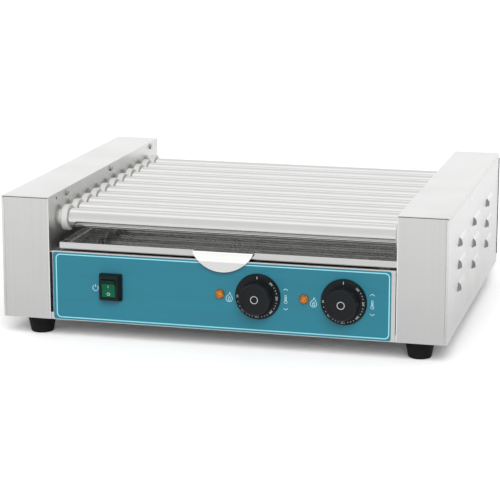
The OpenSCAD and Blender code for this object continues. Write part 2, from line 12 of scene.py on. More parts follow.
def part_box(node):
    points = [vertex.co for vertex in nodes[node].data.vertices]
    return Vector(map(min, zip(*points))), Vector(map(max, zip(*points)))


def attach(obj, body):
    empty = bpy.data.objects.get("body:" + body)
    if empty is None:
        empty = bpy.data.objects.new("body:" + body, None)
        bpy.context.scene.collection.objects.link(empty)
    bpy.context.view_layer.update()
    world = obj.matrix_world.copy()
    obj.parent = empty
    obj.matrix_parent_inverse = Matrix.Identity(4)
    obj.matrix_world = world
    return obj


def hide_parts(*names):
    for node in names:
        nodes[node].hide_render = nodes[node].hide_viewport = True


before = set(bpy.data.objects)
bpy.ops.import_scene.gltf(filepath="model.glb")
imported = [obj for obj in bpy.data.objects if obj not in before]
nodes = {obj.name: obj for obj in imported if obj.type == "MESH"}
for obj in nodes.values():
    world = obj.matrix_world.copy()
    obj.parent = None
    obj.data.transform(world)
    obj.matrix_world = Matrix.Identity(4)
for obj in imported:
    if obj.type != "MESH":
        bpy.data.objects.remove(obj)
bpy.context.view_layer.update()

MM = 0.001
SKIN = 0.06 * MM                 # how far a print stands out of the surface that carries it
SIDES = ("left", "right")
KNOBS = ("left_knob", "right_knob")
ROLLER_NUMBERS = range(1, 12)
PANEL_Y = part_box("control_decal")[0].y     # the face of the overlay

# ---------------------------------------------------------------- camera and light: values

CAMERA_AZIMUTH = math.radians(14.53)       # to the right of the operator's side
CAMERA_ELEVATION = math.radians(12.93)
CAMERA_DISTANCE = 2.628
CAMERA_AIM = Vector((-0.0223, 0.0062, 0.0754))
CAMERA_LENS = 136.9
CAMERA_SENSOR = 36.0
CAMERA_NEAR = 0.05
CAMERA_FAR = 60.0

SUN_AZIMUTH = math.radians(16.0)           # to the same side as the camera
SUN_ELEVATION = math.radians(38.0)
SUN_ANGLE = math.radians(40.0)
SUN_ENERGY = 3.7

# the studio's brightness from the front horizon, 0, over the top to the rear horizon, 1
STUDIO_PROFILE = ((0.0, 1.0), (0.2, 0.95), (0.36, 0.96), (0.46, 1.35), (0.54, 1.35), (0.64, 1.0),
                  (0.80, 1.02), (0.92, 1.26), (0.96, 1.3), (1.0, 1.55))
STUDIO_PEAK = 2.0                # the profile is stored as a share of this
STUDIO_DIM_FROM = 0.40           # X of the direction where the dark right side begins
STUDIO_DIM_TO = 0.75
STUDIO_DIM_SHARE = 0.12
STUDIO_PLAIN = 0.55              # the even light for all that isn't bare metal

FLOOR_SIZE = 30.0
FLOOR_WHITE = (0.93, 0.93, 0.93)
FLOOR_ROUGHNESS = 0.6
FLOOR_GRAIN = (40.0, 40.0, 40.0)
FLOOR_IN_METAL = 0.93            # the floor's share of its colour as bare metal mirrors it


# ---------------------------------------------------------------- nodes

class Tree:
    """Builds nodes in one tree. An input is a value, or an output to link."""

    def __init__(self, tree):
        self.tree = tree

    def add(self, kind, inputs=(), **settings):
        node = self.tree.nodes.new(kind)
        for key, value in settings.items():
            setattr(node, key, value)
        for key, value in dict(inputs).items():
            self.feed(node.inputs[key], value)
        return node

    def feed(self, socket, value):
        if isinstance(value, bpy.types.NodeSocket):
            self.tree.links.new(value, socket)
        else:
            socket.default_value = value

    def calc(self, operation, *values):
        """The result of one operation on numbers."""
        return self.add("ShaderNodeMath", dict(enumerate(values)), operation=operation).outputs[0]

    def spread(self, value, low, high, first, last):
        """Runs from first at the value low to last at the value high."""
        return self.add("ShaderNodeMapRange", {"Value": value, "From Min": low, "From Max": high,
                                               "To Min": first, "To Max": last}).outputs[0]

    def mix(self, factor, first, second):
        """The number first where the factor is 0, and second where it is 1."""
        return self.add("ShaderNodeMix", {"Factor": factor, "A": first, "B": second}).outputs["Result"]


class Look(Tree):
    """A Principled material whose patterns are measured in metres on the piece itself."""

    def __init__(self, name, colour, roughness, metallic=0.0, **constants):
        self.material = bpy.data.materials.new(name)
        self.material.use_nodes = True
        super().__init__(self.material.node_tree)
        self.bsdf = self.tree.nodes["Principled BSDF"]
        self.colour = colour
        self.bsdf.inputs["Base Color"].default_value = (*colour, 1.0)
        self.bsdf.inputs["Roughness"].default_value = roughness
        self.bsdf.inputs["Metallic"].default_value = metallic
        for socket, value in constants.items():
            self.bsdf.inputs[socket.replace("_", " ")].default_value = value
        self.place = self.add("ShaderNodeTexCoord").outputs["Object"]
        self.bumped = None

    def along(self, axis):
        """The place along X, Y or Z."""
        return self.add("ShaderNodeSeparateXYZ", {0: self.place}).outputs[axis]

    def noise(self, grains, detail=3.0, rough=0.55, twist=0.0):
        """Noise with so many grains a metre along X, Y and Z."""
        mapped = self.add("ShaderNodeMapping", {"Vector": self.place, "Scale": grains})
        return self.add("ShaderNodeTexNoise", {"Vector": mapped.outputs[0], "Scale": 1.0, "Detail": detail,
                                               "Roughness": rough, "Distortion": twist}).outputs["Fac"]

    def ramp(self, pattern, low, high, first, last):
        """Runs from the colour first at the pattern's value low to the colour last at high."""
        node = self.add("ShaderNodeValToRGB", {"Fac": pattern})
        for stop, place, colour in zip(node.color_ramp.elements, (low, high), (first, last)):
            stop.position = place
            stop.color = (*colour, 1.0)
        return node.outputs["Color"]

    def tints(self, pattern, low, high, first, last):
        """The base colour runs from first to last times the material's colour, over the pattern."""
        pale, deep = [tuple(min(1.0, part * share) for part in self.colour) for share in (first, last)]
        self.feed(self.bsdf.inputs["Base Color"], self.ramp(pattern, low, high, pale, deep))

    def multiplies(self, factor):
        """The base colour so far times a number."""
        base = self.bsdf.inputs["Base Color"]
        so_far = base.links[0].from_socket if base.is_linked else base.default_value[:3]
        self.feed(base, self.add("ShaderNodeVectorMath", {0: so_far, "Scale": factor},
                                 operation="SCALE").outputs[0])

    def fades(self, low, high, first, last):
        """The base colour times first at the height low, up to times last at the height high."""
        self.multiplies(self.spread(self.along("Z"), low, high, first, last))

    def roughens(self, pattern, low, high, first, last):
        self.feed(self.bsdf.inputs["Roughness"], self.spread(pattern, low, high, first, last))

    def bumps(self, height, strength, distance=1.0 * MM):
        """Adds one layer of bump on top of those before it."""
        inputs = {"Height": height, "Strength": strength, "Distance": distance}
        if self.bumped is not None:
            inputs["Normal"] = self.bumped
        self.bumped = self.add("ShaderNodeBump", inputs).outputs["Normal"]
        self.feed(self.bsdf.inputs["Normal"], self.bumped)

    def wears(self, radius, colour):
        """Edges within the radius take another colour: partly rubbed wear, partly a painted highlight where
        the edge would catch light.
        """
        full_turn = 0.80             # the cosine between rounded and flat at a sharp edge
        no_turn = 0.985
        most = 0.8
        rounded = self.add("ShaderNodeBevel", {"Radius": radius}, samples=4)
        flat = self.add("ShaderNodeNewGeometry")
        turn = self.add("ShaderNodeVectorMath", {0: rounded.outputs[0], 1: flat.outputs["Normal"]},
                        operation="DOT_PRODUCT")
        edge = self.spread(turn.outputs["Value"], no_turn, full_turn, 0.0, most)
        base = self.bsdf.inputs["Base Color"]
        so_far = base.links[0].from_socket if base.is_linked else base.default_value
        # a colour Mix node's sockets: 6 and 7 are its two colours, and 2 is its result
        mixed = self.add("ShaderNodeMix", {"Factor": edge, 6: so_far, 7: (*colour, 1.0)}, data_type="RGBA")
        self.feed(base, mixed.outputs[2])


# ---------------------------------------------------------------- camera and light

def facing(azimuth, elevation):
    """Turns a camera or a sun that stands at this azimuth and elevation towards the grill."""
    return (math.pi / 2 - elevation, 0.0, azimuth)


def add_camera():
    back = Vector((math.sin(CAMERA_AZIMUTH) * math.cos(CAMERA_ELEVATION),
                   -math.cos(CAMERA_AZIMUTH) * math.cos(CAMERA_ELEVATION),
                   math.sin(CAMERA_ELEVATION)))
    camera = bpy.data.objects.new("camera", bpy.data.cameras.new("camera"))
    bpy.context.scene.collection.objects.link(camera)
    camera.data.lens = CAMERA_LENS
    camera.data.sensor_width = CAMERA_SENSOR
    camera.data.clip_start = CAMERA_NEAR
    camera.data.clip_end = CAMERA_FAR
    camera.location = CAMERA_AIM + back * CAMERA_DISTANCE
    camera.rotation_euler = facing(CAMERA_AZIMUTH, CAMERA_ELEVATION)
    bpy.context.scene.camera = camera


def add_sun():
    """Soft light from the camera's side, for the floor and all that isn't bare metal."""
    lamp = bpy.data.lights.new("sun", "SUN")
    lamp.energy = SUN_ENERGY
    lamp.angle = SUN_ANGLE
    sun = bpy.data.objects.new("sun", lamp)
    bpy.context.scene.collection.objects.link(sun)
    sun.rotation_euler = facing(SUN_AZIMUTH, SUN_ELEVATION)
    sun.visible_glossy = False


def add_world():
    """A white studio as bare metal mirrors it: a profile from the front horizon over to the rear one,
    with a strip light overhead, and dark on the far right. All the rest is lit by a plain grey one."""
    world = bpy.data.worlds.new("studio")
    bpy.context.scene.world = world
    world.use_nodes = True
    tree = Tree(world.node_tree)
    direction = tree.add("ShaderNodeTexCoord").outputs["Generated"]
    part = tree.add("ShaderNodeSeparateXYZ", {0: direction}).outputs
    turn = tree.calc("ARCTAN2", part["Z"], tree.calc("MULTIPLY", part["Y"], -1.0))
    ramp = tree.add("ShaderNodeValToRGB", {"Fac": tree.calc("DIVIDE", turn, math.pi)})
    stops = ramp.color_ramp.elements
    while len(stops) < len(STUDIO_PROFILE):
        stops.new(0.5)
    for stop, (place, bright) in zip(stops, STUDIO_PROFILE):
        share = bright / STUDIO_PEAK
        stop.position = place
        stop.color = (share, share, share, 1.0)
    side = tree.spread(part["X"], STUDIO_DIM_FROM, STUDIO_DIM_TO, STUDIO_PEAK, STUDIO_DIM_SHARE * STUDIO_PEAK)
    mirrored = tree.calc("MULTIPLY", ramp.outputs["Color"], side)
    on_matt = tree.add("ShaderNodeLightPath").outputs["Is Diffuse Ray"]
    background = world.node_tree.nodes["Background"].inputs
    tree.feed(background["Strength"], tree.mix(on_matt, mirrored, STUDIO_PLAIN))
    background["Color"].default_value = (1.0, 1.0, 1.0, 1.0)


def add_floor():
    bpy.ops.mesh.primitive_plane_add(size=FLOOR_SIZE, location=(0.0, 0.0, 0.0))
    floor = bpy.context.object
    floor.name = "floor"
    look = Look("floor_paper", FLOOR_WHITE, FLOOR_ROUGHNESS)
    look.bumps(look.noise(FLOOR_GRAIN, detail=2.0), 0.02)
    in_metal = look.add("ShaderNodeLightPath").outputs["Is Glossy Ray"]
    look.multiplies(look.spread(in_metal, 0.0, 1.0, 1.0, FLOOR_IN_METAL))
    floor.data.materials.append(look.material)


# ---------------------------------------------------------------- materials

EDGE_WEAR_AND_HIGHLIGHT = (0.86, 0.86, 0.86)   # the colour of a steel edge: partly cut or rubbed bare, partly a painted highlight
EDGE_TINT_RADIUS = 0.35 * MM
FAINT = 0.1 * MM                 # the depth of a fine bump


def brushed_steel(name, along, colour, roughness, fades=()):
    """Satin stainless sheet with its grain along one axis and faint handling marks; its lighter edges, partly
    wear and partly a painted highlight, come from its callers.
    Each fade is painted light and shade by height: (low height, high height, tint at low, tint at high)."""
    look = Look(name, colour, roughness, metallic=1.0)
    grain_scale = [1400.0] * 3
    band_scale = [260.0] * 3
    axis = "XYZ".index(along)
    grain_scale[axis] = 5.0
    band_scale[axis] = 1.6
    grain = look.noise(grain_scale, detail=2.0)
    bands = look.noise(band_scale, detail=1.0)
    marks = look.noise((9.0, 9.0, 9.0), detail=2.0, twist=0.6)
    band_gloss = look.spread(bands, 0.3, 0.7, -0.01, 0.01)
    mark_gloss = look.spread(marks, 0.35, 0.75, -0.02, 0.05)
    uneven = look.calc("ADD", band_gloss, mark_gloss)
    look.feed(look.bsdf.inputs["Roughness"], look.calc("ADD", uneven, roughness))
    look.tints(bands, 0.3, 0.7, 0.98, 1.015)
    for fade in fades:
        look.fades(*fade)
    look.bumps(grain, 0.02, FAINT)
    return look


def plain_sheet(name, along):
    look = brushed_steel(name, along, (0.56, 0.56, 0.555), 0.30)
    look.wears(EDGE_TINT_RADIUS, EDGE_WEAR_AND_HIGHLIGHT)
    return look.material


def cover_sheet(name):
    """The end covers: painted light, lighter towards the top of their outer sides, and painted shade, a
    little darker on top.
    """
    # painted light and shade by height: the outer sides lighter high up, the top sheet darker
    sides = (0.05, 0.165, 0.765, 1.05)
    top = (0.180, 0.186, 1.0, 0.86)
    look = brushed_steel(name, "Y", (0.68, 0.68, 0.675), 0.30, (sides, top))
    look.wears(EDGE_TINT_RADIUS, EDGE_WEAR_AND_HIGHLIGHT)
    return look.material


def frame_sheet(name):
    """The side frames, with painted shade that darkens them low down, and painted light that makes the side
    facing the rollers brighter, most so low down between them.
    """
    look = brushed_steel(name, "Z", (0.60, 0.60, 0.595), 0.36, ((0.04, 0.186, 0.87, 1.02),))
    inner_face = 0.2272          # the sheet's inner face is nearer the middle of the grill than this
    inner_painted_light = 1.18
    from_middle = look.calc("ABSOLUTE", look.along("X"))
    outside = look.spread(from_middle, inner_face, inner_face + 0.1 * MM, 0.0, 1.0)
    # painted light on the inner face, strongest low down between the collars where shade falls
    inside_painted_light = look.spread(look.along("Z"), 0.150, 0.176, inner_painted_light * 1.14, inner_painted_light)
    look.multiplies(look.mix(outside, inside_painted_light, 1.0))
    look.wears(EDGE_TINT_RADIUS, EDGE_WEAR_AND_HIGHLIGHT)
    return look.material


def polished_steel(name):
    """Polished stainless tube: fine turning marks round it, and dull patches where it gets hot."""
    roughness = 0.09
    look = Look(name, (0.66, 0.66, 0.655), roughness, metallic=1.0)
    turning = look.noise((900.0, 12.0, 12.0), detail=2.0)
    patches = look.noise((14.0, 30.0, 30.0), detail=3.0)
    look.roughens(patches, 0.3, 0.75, roughness * 0.85, roughness * 1.5)
    look.tints(patches, 0.3, 0.75, 1.0, 0.96)
    look.bumps(turning, 0.02, 0.05 * MM)
    return look.material


def drip_lines(look, wall_y, floor_top):
    """A tint in rows along X on the tray's floor, painted reflections of the rollers above it, and 1
    elsewhere.
    """
    row_pitch = 12.7 * MM
    waves = look.calc("SINE", look.calc("MULTIPLY", look.along("Y"), 2 * math.pi / row_pitch))
    drift = look.spread(look.noise((3.0, 60.0, 1.0), detail=2.0), 0.3, 0.7, -0.3, 0.3)
    lines = look.spread(look.calc("ADD", waves, drift), -0.9, 1.1, 0.66, 1.62)
    low = look.calc("LESS_THAN", look.along("Z"), floor_top)
    behind_wall = look.calc("GREATER_THAN", look.along("Y"), wall_y)
    return look.mix(look.calc("MULTIPLY", low, behind_wall), 1.0, lines)


def tab_tint(look, tab_y, fold_z):
    """A tint on the pull tab, a painted reflection that is lighter above its fold, and 1 elsewhere."""
    fold = 0.8 * MM
    step = look.spread(look.along("Z"), fold_z, fold_z + fold, 1.32, 1.75)
    return look.mix(look.calc("LESS_THAN", look.along("Y"), tab_y), 1.0, step)


def tray_steel(name):
    """Bright sheet folded to a tray: rows of painted roller reflections across its floor, and a painted
    reflection on the pull tab in front.
    """
    look = Look(name, (0.56, 0.56, 0.555), 0.08, metallic=1.0)
    lo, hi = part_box("drip_tray")
    streaks = look.noise((1.6, 260.0, 260.0), detail=3.0)
    patches = look.noise((30.0, 12.0, 12.0), detail=3.0)
    look.tints(streaks, 0.3, 0.7, 0.96, 1.04)
    # painted reflections of the rollers, in rows across the tray's floor
    look.multiplies(drip_lines(look, lo.y + 12.0 * MM, hi.z - 7.0 * MM))
    # painted reflection on the pull tab, lightest above its fold
    look.multiplies(tab_tint(look, lo.y + 9.4 * MM, hi.z - 12.6 * MM))
    look.roughens(patches, 0.3, 0.7, 0.07, 0.13)
    look.bumps(streaks, 0.03, FAINT)
    look.wears(EDGE_TINT_RADIUS, EDGE_WEAR_AND_HIGHLIGHT)
    return look.material


def machined_steel(name, colour, roughness):
    """Turned or stamped steel with fine marks and darker oily patches."""
    look = Look(name, colour, roughness, metallic=1.0)
    marks = look.noise((900.0, 300.0, 300.0), detail=3.0)
    oil = look.noise((120.0, 120.0, 120.0), detail=4.0)
    look.roughens(oil, 0.3, 0.7, roughness * 0.7, roughness * 1.3)
    look.tints(oil, 0.35, 0.7, 0.75, 1.1)
    look.bumps(marks, 0.1, FAINT)
    look.wears(0.3 * MM, tuple(min(1.0, part * 1.6) for part in colour))
    return look.material


def moulded(name, colour, roughness, grain=1500.0, bump=0.12, edge_tint=None, **constants):
    """Moulded plastic, rubber or ceramic with a fine texture and slightly uneven gloss."""
    look = Look(name, colour, roughness, **constants)
    texture = look.noise((grain, grain, grain), detail=2.0)
    patches = look.noise((60.0, 60.0, 60.0), detail=3.0)
    look.roughens(patches, 0.3, 0.7, roughness - 0.06, roughness + 0.08)
    look.tints(patches, 0.3, 0.7, 0.88, 1.14)
    look.bumps(texture, bump, 0.15 * MM)
    if edge_tint:
        look.wears(0.5 * MM, edge_tint)
    return look.material


def turned_ptfe(name):
    """White turned PTFE: waxy, with faint tool rings and a faint glow of its own that is painted light."""
    # the faint emission is painted light that brightens the collars and the shade behind them
    look = Look(name, (0.42, 0.42, 0.405), 0.42, Subsurface_Weight=0.2, Subsurface_Scale=1.5 * MM,
                Emission_Color=(1.0, 1.0, 0.97, 1.0), Emission_Strength=0.05)
    rings = look.noise((1300.0, 25.0, 25.0), detail=1.0)
    stain = look.noise((70.0, 70.0, 70.0), detail=3.0)
    look.tints(stain, 0.3, 0.75, 1.03, 0.93)
    look.roughens(stain, 0.3, 0.7, 0.36, 0.5)
    look.bumps(rings, 0.08, FAINT)
    return look.material


def printed_film(name, colour):
    """Printed polyester film with a slight orange peel and faint wiping marks."""
    roughness = 0.34
    look = Look(name, colour, roughness, Specular_IOR_Level=0.3)
    peel = look.noise((420.0, 420.0, 420.0), detail=1.0)
    wipes = look.noise((6.0, 30.0, 60.0), detail=4.0, twist=0.4)
    look.tints(wipes, 0.3, 0.7, 0.95, 1.06)
    look.roughens(wipes, 0.3, 0.7, roughness - 0.05, roughness + 0.08)
    look.bumps(peel, 0.03, FAINT)
    return look.material


def ink(name, colour):
    """Screen printed ink with slightly uneven cover."""
    look = Look(name, colour, 0.45)
    cover = look.noise((2200.0, 2200.0, 2200.0), detail=2.0)
    look.tints(cover, 0.3, 0.7, 0.9, 1.05)
    look.bumps(cover, 0.1, 0.02 * MM)
    return look.material


def lamp_lens(name):
    """A translucent amber lens with ribs inside, their glints painted as bright and dark grains, and painted
    shade where its facets lean away from the front.
    """
    colour = (0.25, 0.085, 0.006)
    look = Look(name, colour, 0.16, Coat_Weight=0.4, Coat_Roughness=0.08, IOR=1.45, Specular_IOR_Level=0.3,
                Emission_Color=(*colour, 1.0), Emission_Strength=0.01)
    ribs_and_glints = look.noise((700.0, 700.0, 700.0), detail=1.0)
    normal = look.add("ShaderNodeNewGeometry").outputs["Normal"]
    lean = look.add("ShaderNodeSeparateXYZ", {0: normal}).outputs["Y"]
    # painted glints: the ribs' sparkle as bright and dark grains
    look.tints(ribs_and_glints, 0.35, 0.65, 0.6, 1.6)
    # painted shade: darker where the facets lean away from the front
    look.multiplies(look.spread(lean, -0.95, -0.55, 1.0, 0.4))
    look.bumps(ribs_and_glints, 0.05, 0.2 * MM)
    return look.material


def rocker_lens(name):
    """A green translucent rocker, with painted shade along its top and left side where the bezel shades it.
    """
    look = Look(name, (0.001, 0.066, 0.032), 0.30, Specular_IOR_Level=0.12)
    lo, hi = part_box("power_rocker")
    painted_shade_top = (lo.z + hi.z) / 2 + 6.0 * MM
    painted_shade_left = lo.x + 1.2 * MM
    patches = look.noise((900.0, 900.0, 900.0), detail=2.0)
    look.tints(patches, 0.3, 0.7, 0.9, 1.1)
    # painted shade: darker above the painted shade top, and at the left side
    look.multiplies(look.spread(look.along("Z"), painted_shade_top, painted_shade_top + 1.5 * MM, 1.0, 0.22))
    look.multiplies(look.spread(look.along("X"), painted_shade_left, painted_shade_left + 1.8 * MM, 0.3, 1.0))
    look.bumps(patches, 0.05, FAINT)
    return look.material


def make_materials():
    return {
        "steel_x": plain_sheet("brushed_along_x", "X"),
        "steel_y": plain_sheet("brushed_along_y", "Y"),
        "frame": frame_sheet("frame_sheet"),
        "cover": cover_sheet("cover_sheet"),
        "tray": tray_steel("tray_sheet"),
        "roller": polished_steel("roller_tube"),
        "screw": machined_steel("screw_steel", (0.62, 0.62, 0.61), 0.3),
        "chain": machined_steel("chain_steel", (0.20, 0.20, 0.20), 0.42),
        "sheath": machined_steel("heater_sheath", (0.17, 0.15, 0.13), 0.5),
        "paint": moulded("motor_paint", (0.10, 0.12, 0.13), 0.4, grain=600.0, bump=0.1,
                         edge_tint=(0.35, 0.36, 0.36)),
        "ptfe": turned_ptfe("white_ptfe"),
        "ceramic": moulded("steatite", (0.70, 0.66, 0.58), 0.6, grain=900.0, bump=0.2),
        "ivory": moulded("phenolic", (0.55, 0.50, 0.38), 0.45),
        "black": moulded("black_plastic", (0.006, 0.007, 0.008), 0.34, edge_tint=(0.03, 0.03, 0.032),
                         Specular_IOR_Level=0.14),
        "rubber": moulded("black_rubber", (0.006, 0.006, 0.006), 0.62, grain=800.0, bump=0.3,
                          Specular_IOR_Level=0.1),
        "teal": printed_film("teal_print", (0.012, 0.122, 0.168)),
        "pale_ink": ink("pale_cyan_ink", (0.22, 0.50, 0.56)),
        "sign_ink": ink("sign_ink", (0.36, 0.54, 0.58)),
        "white_ink": ink("white_ink", (0.42, 0.44, 0.44)),
        "green": rocker_lens("green_lens"),
        "amber": lamp_lens("amber_lens"),
    }


# ---------------------------------------------------------------- CAD nodes

CAD_LOOKS = {
    "steel_x": ["base_pan", "front_panel", "rear_panel", "deck_plate", "tray_rails"],
    "steel_y": ["left_heater_bracket", "right_heater_bracket", "motor_bracket"],
    "frame": ["left_side_frame", "right_side_frame"],
    "cover": ["left_end_cover", "right_end_cover"],
    "tray": ["drip_tray"],
    "roller": [f"roller_{number:02d}" for number in ROLLER_NUMBERS],
    "screw": ["motor_screws", "idler_axle", "foot_screws", "cover_screws", "rear_screws"],
    "chain": ["drive_chain", "motor_sprocket", "idler_sprocket"]
             + [f"sprocket_{number:02d}" for number in ROLLER_NUMBERS],
    "sheath": ["heater_rods"],
    "paint": ["gear_motor"],
    "ptfe": ["left_bushes", "right_bushes"],
    "ceramic": ["heater_insulators"],
    "ivory": ["thermostats", "lamp_bodies", "terminal_block"],
    "black": ["switch_body", "cable_gland", "left_knob", "right_knob"],
    "rubber": ["feet"],
    "teal": ["control_decal"],
    "green": ["power_rocker"],
    "amber": ["lamp_lenses"],
}


def dress_cad_nodes(looks):
    for look, names in CAD_LOOKS.items():
        for name in names:
            slots = nodes[name].data.materials
            slots.clear()
            slots.append(looks[look])


def middle_xz(node):
    """The middle of a node's box in X and Z, as the operator sees it."""
    lo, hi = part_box(node)
    return ((lo.x + hi.x) / 2, (lo.z + hi.z) / 2)


# ---------------------------------------------------------------- mesh helpers

def new_piece(name, bm, material, body, replaces=()):
    """Links a finished bmesh as a piece that rides on a body."""
    mesh = bpy.data.meshes.new(name)
    bmesh.ops.recalc_face_normals(bm, faces=bm.faces)
    bm.to_mesh(mesh)
    bm.free()
    piece = bpy.data.objects.new(name, mesh)
    bpy.context.scene.collection.objects.link(piece)
    mesh.materials.append(material)
    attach(piece, body)
    if replaces:
        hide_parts(*replaces)


def wrap(bm, first, second):
    """Faces between two closed loops of as many points."""
    count = len(first)
    for k in range(count):
        n = (k + 1) % count
        bm.faces.new((first[k], first[n], second[n], second[k]))


def prism(bm, outline, y_front, y_back, hole=None):
    """A flat solid facing -Y: the outline in X and Z, or the ring between it and a hole of as many points."""
    front = [bm.verts.new((x, y_front, z)) for x, z in outline]
    back = [bm.verts.new((x, y_back, z)) for x, z in outline]
    wrap(bm, front, back)
    if hole is None:
        bm.faces.new(front)
        bm.faces.new(back)
        return
    hole_front = [bm.verts.new((x, y_front, z)) for x, z in hole]
    hole_back = [bm.verts.new((x, y_back, z)) for x, z in hole]
    wrap(bm, hole_front, hole_back)
    wrap(bm, front, hole_front)
    wrap(bm, back, hole_back)


def on_circle(centre, radius, angle):
    """The point on a circle at an angle in degrees, from +X towards +Z."""
    turn = math.radians(angle)
    return (centre[0] + radius * math.cos(turn), centre[1] + radius * math.sin(turn))


def arc(centre, radius, start, end, steps):
    """Points on an arc, both ends included."""
    return [on_circle(centre, radius, start + (end - start) * k / steps) for k in range(steps + 1)]


def circle(centre, radius, count):
    return [on_circle(centre, radius, 360 * k / count) for k in range(count)]


def round_rectangle(low, high, radius, steps=6):
    left = low[0] + radius
    bottom = low[1] + radius
    right = high[0] - radius
    top = high[1] - radius
    corners = (((right, top), 0), ((left, top), 90), ((left, bottom), 180), ((right, bottom), 270))
    return [point for centre, start in corners for point in arc(centre, radius, start, start + 90, steps)]


def unit(vector, otherwise):
    """The vector's direction, or the other one's where it has no length."""
    return vector.normalized() if vector.length > 0 else otherwise.normalized()


def stroke(bm, points, width, y_front, y_back, closed=False):
    """A line of even width through the points, as a flat solid facing -Y."""
    sharpest = 0.4               # a mitre reaches no further than half the width over this
    count = len(points)
    left = []
    right = []
    for k, (x, z) in enumerate(points):
        before = points[k - 1] if closed or k > 0 else (x, z)
        after = points[(k + 1) % count] if closed or k < count - 1 else (x, z)
        step_in = Vector((x - before[0], z - before[1]))
        step_out = Vector((after[0] - x, after[1] - z))
        way_in = unit(step_in, step_out)
        way_out = unit(step_out, way_in)
        along = (way_in + way_out).normalized()
        normal = Vector((-along.y, along.x))
        square = Vector((-way_in.y, way_in.x))
        reach = width / 2 / max(sharpest, abs(normal.dot(square)))
        left.append((x + normal.x * reach, z + normal.y * reach))
        right.append((x - normal.x * reach, z - normal.y * reach))
    if closed:
        prism(bm, left, y_front, y_back, hole=right)
    else:
        prism(bm, left + right[::-1], y_front, y_back)


def lathe(bm, profile, centre, segments):
    """Turns a profile of (radius, distance towards -Y) round a line along Y. It ends on that line."""
    x, y, z = centre
    rings = []
    for radius, out in profile:
        points = circle((x, z), radius, segments) if radius > 0 else [(x, z)]
        rings.append([bm.verts.new((px, y - out, pz)) for px, pz in points])
    for ring, after in zip(rings, rings[1:]):
        for k in range(segments):
            n = (k + 1) % segments
            corners = [ring[k % len(ring)], ring[n % len(ring)], after[n % len(after)], after[k % len(after)]]
            bm.faces.new(list(dict.fromkeys(corners)))


# ---------------------------------------------------------------- prints

def add_mark(bm, sign, centre, surface, width, scale=1.0):
    """Draws a sign, lines of (points in millimetres, closed), round a centre on a surface facing -Y."""
    for points, closed in sign:
        placed = [(centre[0] + x * scale * MM, centre[1] + z * scale * MM) for x, z in points]
        stroke(bm, placed, width, surface - SKIN, surface + SKIN, closed)


def add_dot(bm, centre, radius, surface, sides):
    prism(bm, circle(centre, radius, sides), surface - SKIN, surface + SKIN)


def power_sign():
    ring = arc((0.0, 0.0), 4.3, 125, 415, 28)
    bar = [(0.0, 1.6), (0.0, 5.6)]
    return [(ring, False), (bar, False)]


def flame_sign():
    outer = [(0.6, 6.2), (0.2, 4.2), (-1.8, 2.2), (-3.6, 0.2), (-4.2, -2.2), (-3.4, -4.4), (-1.2, -5.9),
             (1.2, -5.9), (3.4, -4.4), (4.2, -2.0), (3.5, 0.4), (2.4, 1.6), (1.9, 3.8)]
    inner = [(0.2, 0.4), (-1.4, -1.8), (-1.3, -3.6), (0.1, -4.4), (1.5, -3.6), (1.5, -1.8)]
    return [(outer, True), (inner, True)]


def chevron_sign(way):
    """An arrow head that points up for 1 and down for -1."""
    half = [(-2.7, -1.0), (-1.4, 0.5), (0.0, 1.1), (1.4, 0.5), (2.7, -1.0)]
    return [([(x, z * way) for x, z in half], False)]


def thermometer_sign():
    bulb = arc((0.0, -3.6), 1.9, 120, 420, 20)
    tube = [(0.95, 4.6), (0.0, 5.4), (-0.95, 4.6)]
    filling = [(0.0, -3.4), (0.0, 2.6)]
    return [(bulb + tube, True), (filling, False)]


def add_overlay_outline(looks):
    """The pale line near the overlay's edge."""
    lo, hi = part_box("control_decal")
    low = (lo.x + 4.4 * MM, lo.z + 2.9 * MM)
    high = (hi.x - 2.4 * MM, hi.z - 2.5 * MM)
    bm = bmesh.new()
    stroke(bm, round_rectangle(low, high, 5.5 * MM), 1.3 * MM, PANEL_Y - SKIN, PANEL_Y + SKIN, closed=True)
    new_piece("overlay_outline", bm, looks["pale_ink"], "chassis")


# how far each sign stands beside its switch, lamp or knob, and its height from the switch's middle
POWER_ASIDE = 5.6 * MM
POWER_HEIGHT = -2.6 * MM
FLAME_ASIDE = 5.8 * MM
FLAME_HEIGHT = -3.4 * MM
KNOB_SIGNS_ASIDE = 6.4 * MM
# the signs beside a knob: (sign, height, line width)
KNOB_SIGNS = ((chevron_sign(1), 10.6 * MM, 0.6 * MM),
              (thermometer_sign(), -1.6 * MM, 0.5 * MM),
              (chevron_sign(-1), -14.2 * MM, 0.6 * MM))


def add_overlay_signs(looks):
    """The signs beside the switch, the lamps and the knobs."""
    middle = middle_xz("switch_body")[1]
    switch_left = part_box("switch_body")[0].x
    lamps_lo, lamps_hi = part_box("lamp_lenses")
    power_place = (switch_left - POWER_ASIDE, middle + POWER_HEIGHT)
    bm = bmesh.new()
    add_mark(bm, power_sign(), power_place, PANEL_Y, 0.7 * MM, scale=0.85)
    for lamp_right in (lamps_lo.x + 2 * LENS_RADIUS, lamps_hi.x):
        add_mark(bm, flame_sign(), (lamp_right + FLAME_ASIDE, middle + FLAME_HEIGHT), PANEL_Y, 0.6 * MM)
    for knob in KNOBS:
        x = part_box(knob)[1].x + KNOB_SIGNS_ASIDE
        for sign, height, width in KNOB_SIGNS:
            add_mark(bm, sign, (x, middle + height), PANEL_Y, width)
    new_piece("overlay_signs", bm, looks["sign_ink"], "chassis")


CAPITAL_SHARE = 0.7              # a figure's height over the font's size


